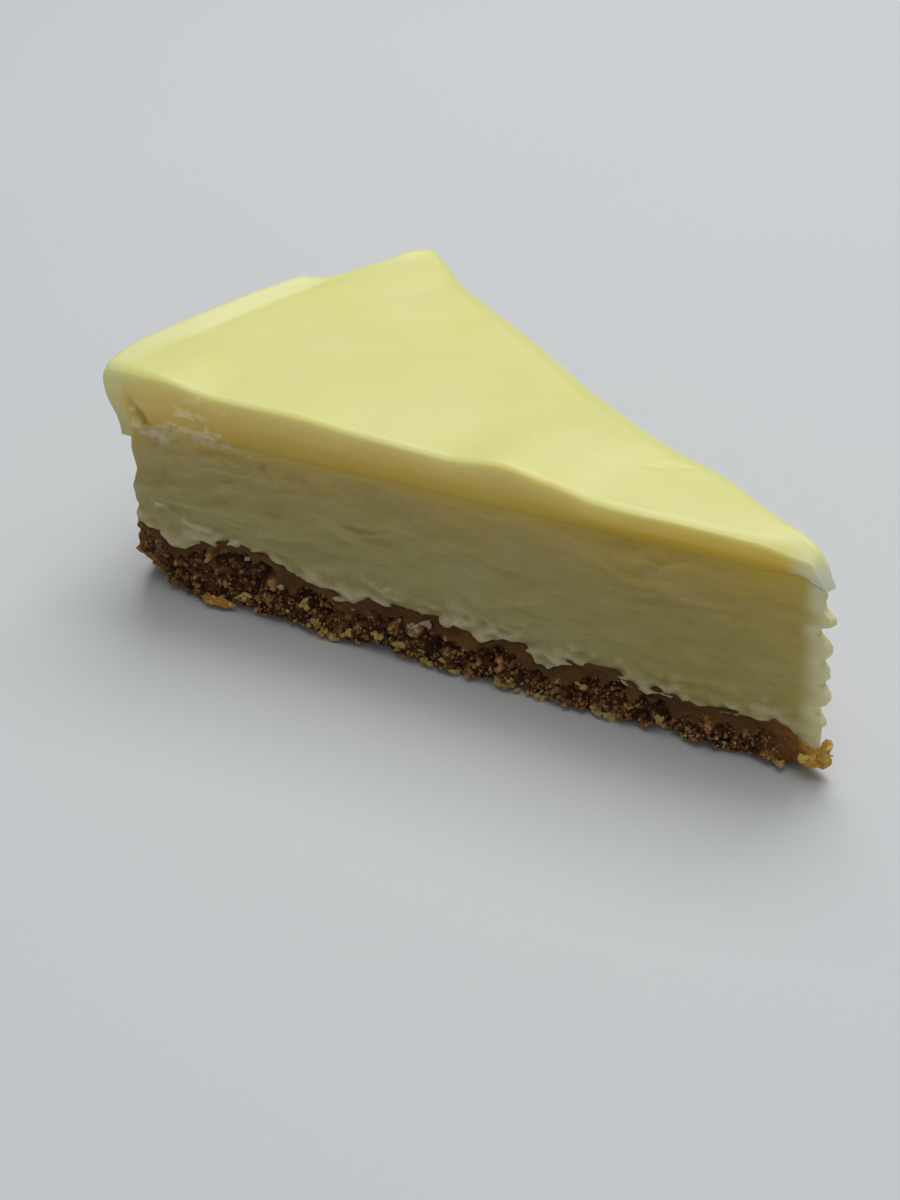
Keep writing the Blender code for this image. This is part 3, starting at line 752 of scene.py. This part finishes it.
def cap_faces(first, last, inset, sizes, key, backwards):
    """A foot or top of the cube. Between the first and last cut it is one flat face, with strips round it
    as wide as the inset where its edge is ragged. Before and beyond these cuts it is cells."""
    along_count, across_count, _ = sizes
    faces = grid_faces(first, across_count, key, backwards)
    faces += grid_faces(along_count - last, across_count, lambda i, j: key(i + last, j), backwards)
    if first == last:
        return faces
    there = [(i, 0) for i in range(first, last)]
    over = [(last, j) for j in range(across_count)]
    back = [(i, across_count) for i in range(last, first, -1)]
    home = [(first, j) for j in range(across_count, 0, -1)]
    loop = there + over + back + home
    inner = [
        (min(max(i, first + inset), last - inset), min(max(j, inset), across_count - inset))
        for i, j in loop
    ]
    strips = zip(loop, loop[1:] + loop[:1], inner[1:] + inner[:1], inner)
    for face in [*strips, inner]:
        corners = [int(key(i, j)) for i, j in dict.fromkeys(face)]
        if len(corners) > 2:
            faces.append(corners[::-1] if backwards else corners)
    return faces


def layer(name, sizes, shape, foot, top, material):
    """One layer of the slice. Its foot and top are each given as the first cut, last cut and inset."""
    along_count, across_count, up_count = sizes

    def key(i, j, k):
        return (i * (across_count + 1) + j) * (up_count + 1) + k

    # Running from tip to rim against the X axis mirrors the cube, and these turns allow for it.
    faces = grid_faces(along_count, up_count, lambda i, k: key(i, 0, k), True)
    faces += grid_faces(along_count, up_count, lambda i, k: key(i, across_count, k), False)
    faces += grid_faces(across_count, up_count, lambda j, k: key(along_count, j, k), True)
    faces += grid_faces(across_count, up_count, lambda j, k: key(0, j, k), False)
    faces += cap_faces(*foot, sizes, lambda i, j: key(i, j, 0), False)
    faces += cap_faces(*top, sizes, lambda i, j: key(i, j, up_count), True)

    used = sorted({corner for face in faces for corner in face})
    number = {corner: place for place, corner in enumerate(used)}
    faces = [[number[corner] for corner in face] for face in faces]
    used = np.array(used)
    along = crowded(along_count, CROWDING_ALONG)[used // ((across_count + 1) * (up_count + 1))]
    across = crowded(across_count, CROWDING_ACROSS)[used // (up_count + 1) % (across_count + 1)]
    up = crowded(up_count, 0)[used % (up_count + 1)]
    points, marks = shape(along, across, up)
    return piece(name, points, faces, marks, material)


def linked(name, data):
    """A new object in the scene."""
    thing = bpy.data.objects.new(name, data)
    bpy.context.scene.collection.objects.link(thing)
    return thing


def piece(name, points, faces, marks, material, sharp_edge=SHARP_EDGE):
    """A mesh object with its material and its marks, which are numbers kept at every vertex."""
    mesh = bpy.data.meshes.new(name)
    mesh.from_pydata(points.tolist(), [], faces)
    for mark, values in marks.items():
        attribute = mesh.attributes.new(mark, "FLOAT", "POINT")
        attribute.data.foreach_set("value", np.broadcast_to(values, len(points)).astype(np.float32))
    mesh.shade_smooth()
    mesh.set_sharp_from_angle(angle=sharp_edge)
    mesh.materials.append(material)
    return linked(name, mesh)


def melt_nose(topping):
    """Softens the ridges where the rounded edges of the topping meet at the tip."""
    mesh = bmesh.new()
    mesh.from_mesh(topping.data)
    level = mesh.verts.layers.float["level"]
    nose = [
        vertex for vertex in mesh.verts
        if vertex.co.x > APEX_X - MELTED_LENGTH and vertex[level] < MELTED_LEVEL
    ]
    axes = {"use_axis_x": True, "use_axis_y": True, "use_axis_z": True}
    for _ in range(MELTING_STEPS):
        bmesh.ops.smooth_vert(mesh, verts=nose, factor=0.5, **axes)
    mesh.to_mesh(topping.data)
    mesh.free()
    topping.data.set_sharp_from_angle(angle=SHARP_EDGE)


def ball(subdivisions):
    """The vertices and triangles of a ball of radius 1."""
    mesh = bmesh.new()
    bmesh.ops.create_icosphere(mesh, subdivisions=subdivisions, radius=1)
    points = np.array([vertex.co[:] for vertex in mesh.verts])
    triangles = np.array([[vertex.index for vertex in face.verts] for face in mesh.faces])
    mesh.free()
    return points, triangles


def turned_axes(angles):
    """Rotations about X, Y and Z, one matrix for each row of angles."""
    turn = Matrix.Rotation
    return np.array([turn(z, 3, "Z") @ turn(y, 3, "Y") @ turn(x, 3, "X") for x, y, z in angles])


def joined_lumps(name, places, sizes, angles, roughness, subdivisions, marks, seed, material):
    """Rough lumps in one mesh. Sizes are the three half sizes of each lump."""
    points, triangles = ball(subdivisions)
    count = len(places)
    spread = points[None] * BUMP_RATE + np.arange(count)[:, None, None] * BUMP_STEP
    bumps = wave(*np.moveaxis(spread, -1, 0), seed)
    fine = wave(*np.moveaxis(spread * FINE_RATE, -1, 0), seed + 1)
    shaped = points[None] * (1 + roughness * (bumps + FINE_SHARE * fine))[..., None] * sizes[:, None, :]
    turned = np.einsum("nab,npb->npa", turned_axes(angles), shaped) + places[:, None, :]
    # What would reach through the plate lies flat on it.
    turned[..., 2] = np.maximum(turned[..., 2], PLATE_GAP)
    faces = triangles[None] + (np.arange(count) * len(points))[:, None, None]
    marks = {mark: np.repeat(values, len(points)) for mark, values in marks.items()}
    places, faces = turned.reshape(-1, 3), faces.reshape(-1, 3).tolist()
    return piece(name, places, faces, marks, material, CRUMB_EDGE)


def loose_crumbs(material):
    """Small crumbs that stick to the three open faces of the base, below its pressed band."""
    draw = np.random.default_rng(11)
    near, far, rim = CRUMB_COUNTS
    total = near + far + rim
    along = np.concatenate((draw.uniform(0.04, 1, near), draw.uniform(0.04, 1, far), np.ones(rim)))
    across = np.concatenate((np.zeros(near), np.ones(far), draw.uniform(0, 1, rim)))
    up = draw.beta(1.0, 1.5, total)
    places, marks = base_points(along, across, up)
    size = CRUMB_SMALLEST + (CRUMB_LARGEST - CRUMB_SMALLEST) * draw.beta(1.2, 3.0, total)
    size = size * (1 - 0.75 * marks["pressed"])
    sizes = size[:, None] * draw.uniform(0.55, 1.3, (total, 3))
    kept = places[:, 2] > size
    luck = draw.uniform(0, 1, total)
    angles = draw.uniform(0, math.tau, (total, 3))
    tones = {"tone": luck[kept], "golden": np.clip(1.2 - up - luck, 0, 1)[kept]}
    arrays = (places[kept], sizes[kept], angles[kept])
    return joined_lumps("biscuit_crumbs", *arrays, CRUMB_ROUGHNESS, 1, tones, 41, material)


def on_near_cut(distance, height, stand_out):
    """A place by its distance from the tip along the near cut, its height and how far it stands out."""
    ahead = np.array((-COSINE, -SINE, 0))
    tip = np.array((APEX_X, 0, 0))
    return tip + ahead * distance + NEAR_NORMAL * stand_out + np.array((0, 0, height))


def clumps(name, rows, seed, form, material):
    """Larger bits at chosen places on the near cut, each a core with smaller grains stuck to it."""
    stand_out, depth, grain, core_share = form
    draw = np.random.default_rng(seed)
    places, sizes, angles, tones = [], [], [], []
    for distance, height, length, thick in rows:
        tone = draw.uniform(0.1, 0.8)
        slope = draw.uniform(-0.3, 0.3)
        places.append(on_near_cut(distance, height, stand_out))
        sizes.append(np.array((length, depth, thick)) * core_share)
        angles.append((0, slope, SLICE_ANGLE / 2))
        tones.append(tone)
        for _ in range(max(2, round(length * thick / grain ** 2))):
            ahead, rise, out = draw.uniform(-0.45, 0.45, 3)
            level = height + rise * thick * (1 - abs(ahead)) - slope * ahead * length
            level = max(level, 0.3 * grain)
            places.append(on_near_cut(distance + ahead * length, level, stand_out + out * depth))
            sizes.append(grain * draw.uniform(0.3, 0.9, 3) * np.array((1.3, 1.0, 0.7)))
            angles.append(draw.uniform(-0.8, 0.8, 3))
            tones.append(tone + draw.uniform(-0.3, 0.3))
    marks = {"tone": np.clip(tones, 0, 1), "golden": draw.uniform(0.2, 1, len(places))}
    arrays = (np.array(places), np.array(sizes), np.array(angles))
    return joined_lumps(name, *arrays, CLUMP_ROUGHNESS, 3, marks, seed, material)


class Shader:
    """A material that is built up node by node."""

    def __init__(self, name, **settings):
        self.material = bpy.data.materials.new(name)
        self.material.use_nodes = True
        self.tree = self.material.node_tree
        self.surface = self.tree.nodes["Principled BSDF"]
        self.place = self.add("TexCoord").outputs["Object"]
        for socket, value in settings.items():
            self.surface.inputs[socket.replace("_", " ")].default_value = value

    def add(self, kind, inputs=None, **settings):
        node = self.tree.nodes.new("ShaderNode" + kind)
        for name, value in settings.items():
            setattr(node, name, value)
        for name, value in (inputs or {}).items():
            self.put(node.inputs[name], value)
        return node

    def put(self, socket, value):
        if isinstance(value, bpy.types.NodeSocket):
            self.tree.links.new(value, socket)
        else:
            socket.default_value = value

    def mark(self, name):
        """A number that the mesh keeps at every vertex."""
        return self.add("Attribute", attribute_name=name).outputs["Fac"]

    def noise(self, size, detail=3, roughness=0.55, stretch=(1, 1, 1)):
        """Noise between 0 and 1, with features of a size in metres."""
        scale = tuple(1 / (size * share) for share in stretch)
        place = self.add("Mapping", {"Vector": self.place, "Scale": scale}).outputs["Vector"]
        inputs = {"Vector": place, "Scale": 1, "Detail": detail, "Roughness": roughness}
        return self.add("TexNoise", inputs).outputs["Fac"]

    def tones(self, size):
        """Cells of a size in metres, each of a random tone."""
        colour = self.add("TexVoronoi", {"Vector": self.place, "Scale": 1 / size}).outputs["Color"]
        return self.add("SeparateColor", {"Color": colour}).outputs["Red"]

    def ramp(self, value, *stops):
        """Colours, or numbers as greys, at rising values."""
        node = self.add("ValToRGB", {"Fac": value})
        elements = node.color_ramp.elements
        while len(elements) < len(stops):
            elements.new(1)
        for element, (position, colour) in zip(elements, stops):
            element.position = position
            element.color = (*(colour if isinstance(colour, tuple) else (colour,) * 3), 1)
        return node.outputs["Color"]

    def mix(self, share, first, second, blend="MIX"):
        node = self.add("Mix", data_type="RGBA", blend_type=blend)
        self.put(node.inputs[0], share)
        for socket, value in ((6, first), (7, second)):
            self.put(node.inputs[socket], (*value, 1) if isinstance(value, tuple) else value)
        return node.outputs[2]

    def math(self, operation, first, second=0.0, clamp=False):
        node = self.add("Math", {0: first, 1: second}, operation=operation, use_clamp=clamp)
        return node.outputs["Value"]

    def times(self, first, second):
        return self.math("MULTIPLY", first, second)

    def spread(self, value, low, high, new_low=0.0, new_high=1.0):
        """A number moved from one range to another, and kept within it."""
        sockets = ("Value", "From Min", "From Max", "To Min", "To Max")
        values = (value, low, high, new_low, new_high)
        return self.add("MapRange", dict(zip(sockets, values))).outputs["Result"]

    def finish(self, colour, roughness, bumps=()):
        """Links the colour and roughness, and bumps given as height socket and depth in metres."""
        self.put(self.surface.inputs["Base Color"], colour)
        self.put(self.surface.inputs["Roughness"], roughness)
        socket = self.surface.inputs["Normal"]
        for height, depth in reversed(bumps):
            bump = self.add("Bump", {"Height": height, "Distance": depth, "Strength": 1.0})
            self.put(socket, bump.outputs["Normal"])
            socket = bump.inputs["Normal"]
        return self.material


def moist(scale, radius):
    """Settings of a moist layer that light sinks into."""
    settings = {"Subsurface_Weight": 0.35, "Subsurface_Scale": scale, "Subsurface_Radius": radius}
    return {**settings, "Coat_Weight": 0.08, "IOR": 1.42}


def lemon_material():
    """Pale lemon on top, turning tan and then golden down the cut faces, with painted shade, glow and
    highlights.
    """
    shader = Shader("lemon topping", Coat_Roughness=0.25, **moist(0.003, (1.0, 0.8, 0.35)))
    mix, spread, times, mark = shader.mix, shader.spread, shader.times, shader.mark
    cloud = shader.noise(0.018, 3)
    grain = shader.noise(0.0012, 4)
    lemon = mix(spread(cloud, 0.35, 0.65), (0.84, 0.83, 0.3), (0.86, 0.84, 0.35))
    level = shader.math("ADD", mark("level"), spread(cloud, 0.3, 0.7, -0.05, 0.05), True)
    # Down the cut faces the lemon turns tan and then golden, its own colour, and darker towards the foot,
    # which is partly painted shade.
    wall = shader.ramp(
        level,
        (0.1, (0.94, 0.8, 0.27)), (0.35, (0.88, 0.67, 0.17)),
        (0.65, (0.78, 0.55, 0.095)), (0.92, (0.69, 0.47, 0.05)),
    )
    wall = mix(mark("ripe"), wall, (1.0, 0.97, 0.6), "MULTIPLY")
    colour = mix(mark("cut"), lemon, wall)
    rim = mark("rim")
    colour = mix(times(rim, 0.5), colour, (0.84, 0.84, 0.46))
    # Olive lower down the rim's wrap: painted shade.
    painted_rim_shade = times(rim, spread(level, 0.25, 0.75, 0, 0.8))
    colour = mix(painted_rim_shade, colour, (0.56, 0.51, 0.21))
    # Whitish on the tip's thin drip: painted glow of light shining through it, and painted highlight.
    drip = times(mark("tip"), spread(level, 0.0, 0.4, 0.4, 1))
    colour = mix(drip, colour, (0.87, 0.88, 0.66))
    # Darker in the tear: painted shade.
    colour = mix(mark("groove"), colour, (0.48, 0.38, 0.04))
    pale = spread(shader.noise(0.001, 3), 0.35, 0.75, 0.4, 1)
    smear = times(mark("smear"), pale)
    # Whitish patches: partly smeared filling, partly painted highlight on the wet cut face.
    colour = mix(times(smear, 0.85), colour, (1.0, 0.8, 0.5))
    rough = spread(grain, 0.3, 0.7, 0.34, 0.46)
    rough = shader.math("SUBTRACT", rough, times(smear, 0.15))
    return shader.finish(colour, rough, ((grain, 0.00003), (cloud, 0.0002)))


def cheese_material():
    """Ivory filling, its colour partly painted shade: brownish under the topping, greyer lower down,
    whitish smeared patches.
    """
    shader = Shader("cheese filling", Coat_Roughness=0.35, **moist(0.0025, (1.0, 0.75, 0.4)))
    mix, spread, times, mark = shader.mix, shader.spread, shader.times, shader.mark
    cloud = shader.noise(0.01, 3)
    streaks = shader.noise(0.0022, 4, 0.6, stretch=(3.0, 3.0, 0.6))
    grain = shader.noise(0.0007, 4)
    below = times(mark("below"), spread(cloud, 0.3, 0.7, 0.7, 1.3))
    under = spread(below, 0.0, 0.0025)
    # The body is darker and more olive than the ivory filling, and brownish under the topping: partly
    # painted shade of the cut faces.
    body = shader.ramp(
        spread(below, 0, 0.022),
        (0.0, (0.66, 0.46, 0.055)), (0.06, (0.6, 0.43, 0.095)), (0.24, (0.49, 0.38, 0.115)),
        (0.5, (0.44, 0.37, 0.125)), (1.0, (0.46, 0.4, 0.165)),
    )
    light = spread(shader.math("ADD", streaks, mark("streak")), 0.75, 1.45)
    light = times(times(light, under), 0.38)
    body = mix(light, body, (0.56, 0.5, 0.27))
    mottle = shader.noise(0.003, 4, 0.6, stretch=(1.6, 1.6, 0.7))
    dark = times(spread(mottle, 0.42, 0.62, 0.3, 0), under)
    body = mix(dark, body, (0.36, 0.31, 0.115))
    body = mix(mark("ripe"), body, (1.0, 0.98, 0.78), "MULTIPLY")
    # Paler towards the thin tip: painted glow of light shining through it.
    edge = shader.ramp(mark("tip"), (0.0, 0.0), (0.6, 0.15), (0.98, 0.95))
    pale = shader.ramp(mark("tip"), (0.5, (0.66, 0.58, 0.19)), (1.0, (0.8, 0.77, 0.46)))
    body = mix(edge, body, pale)
    smear = times(mark("smear"), spread(grain, 0.3, 0.6, 0.45, 1))
    # Whitish patches: partly smeared filling, partly painted highlight on the wet cut face.
    colour = mix(times(smear, 0.9), body, (0.68, 0.58, 0.4))
    rough = spread(grain, 0.3, 0.7, 0.4, 0.56)
    rough = shader.math("SUBTRACT", rough, times(smear, 0.2))
    return shader.finish(colour, rough, ((grain, 0.00006), (streaks, 0.0002), (mottle, 0.00035)))


def biscuit_material():
    """Brown biscuit, dark pressed band, golden tip; painted shade in clefts and painted golden highlight
    on granules.
    """
    shader = Shader("biscuit base", Subsurface_Weight=0.05, Subsurface_Scale=0.001, IOR=1.4)
    mix, spread, times, mark = shader.mix, shader.spread, shader.times, shader.mark
    cloud = shader.noise(0.006, 3)
    grain = shader.noise(0.0006, 5, 0.65)
    # The crumb is darker in the clefts and lighter and golden on the lumps' tops, following the relief:
    # painted shade and painted highlight, with random tones among them.
    level = shader.math("ADD", times(mark("relief"), 0.7), times(shader.tones(0.0008), 0.35))
    crumb = shader.ramp(
        level,
        (0.16, (0.048, 0.015, 0.003)), (0.44, (0.24, 0.096, 0.023)),
        (0.66, (0.44, 0.225, 0.062)), (0.92, (0.66, 0.44, 0.16)),
    )
    band = mix(spread(cloud, 0.35, 0.65), (0.074, 0.027, 0.004), (0.135, 0.06, 0.012))
    band = mix(spread(grain, 0.35, 0.75, 0, 0.4), band, (0.23, 0.115, 0.029))
    colour = mix(mark("pressed"), crumb, band)
    rusty = mix(spread(grain, 0.3, 0.7), (0.17, 0.052, 0.008), (0.28, 0.115, 0.022))
    gold = mix(spread(grain, 0.3, 0.7), (0.5, 0.27, 0.04), (0.7, 0.46, 0.11))
    tip = mark("tip")
    colour = mix(spread(tip, 0.05, 0.45, 0, 0.8), colour, rusty)
    colour = mix(spread(tip, 0.7, 0.95), colour, gold)
    rough = spread(grain, 0.3, 0.7, 0.7, 0.9)
    return shader.finish(colour, rough, ((grain, 0.00022),))


def crumb_material(name, dark, light, gold):
    """Crumbs whose tone differs from one to the next, some of them golden."""
    shader = Shader(name, Subsurface_Weight=0.05, Subsurface_Scale=0.0008, IOR=1.4)
    grain = shader.noise(0.0004, 4, 0.65)
    speckle = shader.spread(grain, 0.3, 0.7, 0, 0.3)
    tone = shader.math("ADD", shader.times(shader.mark("tone"), 0.75), speckle)
    colour = shader.mix(tone, dark, light)
    colour = shader.mix(shader.spread(shader.mark("golden"), 0.5, 0.8), colour, gold)
    return shader.finish(colour, shader.spread(grain, 0.3, 0.7, 0.65, 0.85), ((grain, 0.00015),))


def floor_material():
    shader = Shader("floor", IOR=1.4)
    cloud = shader.noise(0.25, 2)
    colour = shader.mix(cloud, (0.66, 0.69, 0.71), (0.69, 0.72, 0.74))
    return shader.finish(colour, shader.spread(cloud, 0.3, 0.7, 0.6, 0.66))


def dress(thing, slot, *nodes):
    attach(thing, "root")
    if nodes:
        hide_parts(*nodes)


def build_slice():
    biscuit, cheese, lemon = biscuit_material(), cheese_material(), lemon_material()
    # The cuts crowd towards the tip, so a share of them reaches less far than the same share of length.
    lifted = int(BASE_CELLS[0] * LIFTED_TIP / (1 - CROWDING_ALONG)) + 2
    foot, top = (lifted, BASE_CELLS[0], 0), (0, BASE_CELLS[0], RAGGED_CELLS)
    base = layer("biscuit_base_looks", BASE_CELLS, base_points, foot, top, biscuit)
    foot, top = (0, FILLING_CELLS[0], RAGGED_CELLS), (0, FILLING_CELLS[0] - WRAP_CELLS, 0)
    filling = layer("cheese_filling_looks", FILLING_CELLS, filling_points, foot, top, cheese)
    foot, top = (0, TOPPING_CELLS[0] - WRAP_CELLS, 0), (TOPPING_CELLS[0], TOPPING_CELLS[0], 0)
    topping = layer("lemon_topping_looks", TOPPING_CELLS, topping_points, foot, top, lemon)
    melt_nose(topping)
    crumbs = loose_crumbs(crumb_material("biscuit crumbs", *CRUMB_COLOURS))
    dress(base, "biscuit", "biscuit_base")
    dress(filling, "cheese", "cheese_filling")
    dress(topping, "lemon", "lemon_topping")
    dress(crumbs, "biscuit")
    for name, slot, rows, seed, form, *colours in CLUMPS:
        dress(clumps(name, rows, seed, form, crumb_material(name, *colours)), slot)


def build_floor():
    bpy.ops.mesh.primitive_plane_add(size=FLOOR_SIZE)
    floor = bpy.context.object
    floor.name = "floor"
    floor.data.materials.append(floor_material())


def area_light(name, place, size, power, colour):
    """A square soft light that points at the slice."""
    lamp = bpy.data.lights.new(name, "AREA")
    lamp.size = size
    lamp.energy = power
    lamp.color = colour
    holder = linked(name, lamp)
    holder.location = place
    holder.rotation_euler = (-Vector(place)).to_track_quat("-Z", "Y").to_euler()


def build_light():
    for lamp in LAMPS:
        area_light(*lamp)
    world = bpy.data.worlds.new("studio")
    world.use_nodes = True
    background = world.node_tree.nodes["Background"]
    background.inputs["Color"].default_value = SKY_COLOUR
    background.inputs["Strength"].default_value = SKY_STRENGTH
    bpy.context.scene.world = world
    bpy.context.scene.view_settings.view_transform = "Standard"


def build_camera():
    camera = bpy.data.cameras.new("camera")
    camera.lens = LENS_MM
    camera.sensor_width = SENSOR_MM
    camera.clip_start = 0.01
    holder = linked("camera", camera)
    turn = Matrix.Rotation(CAMERA_AZIMUTH, 4, "Z")
    tilt = Matrix.Rotation(math.pi / 2 - CAMERA_ELEVATION, 4, "X")
    roll = Matrix.Rotation(CAMERA_ROLL, 4, "Z")
    holder.matrix_world = Matrix.Translation(CAMERA_PLACE) @ turn @ tilt @ roll
    bpy.context.scene.camera = holder


build_camera()
build_light()
build_floor()
build_slice()
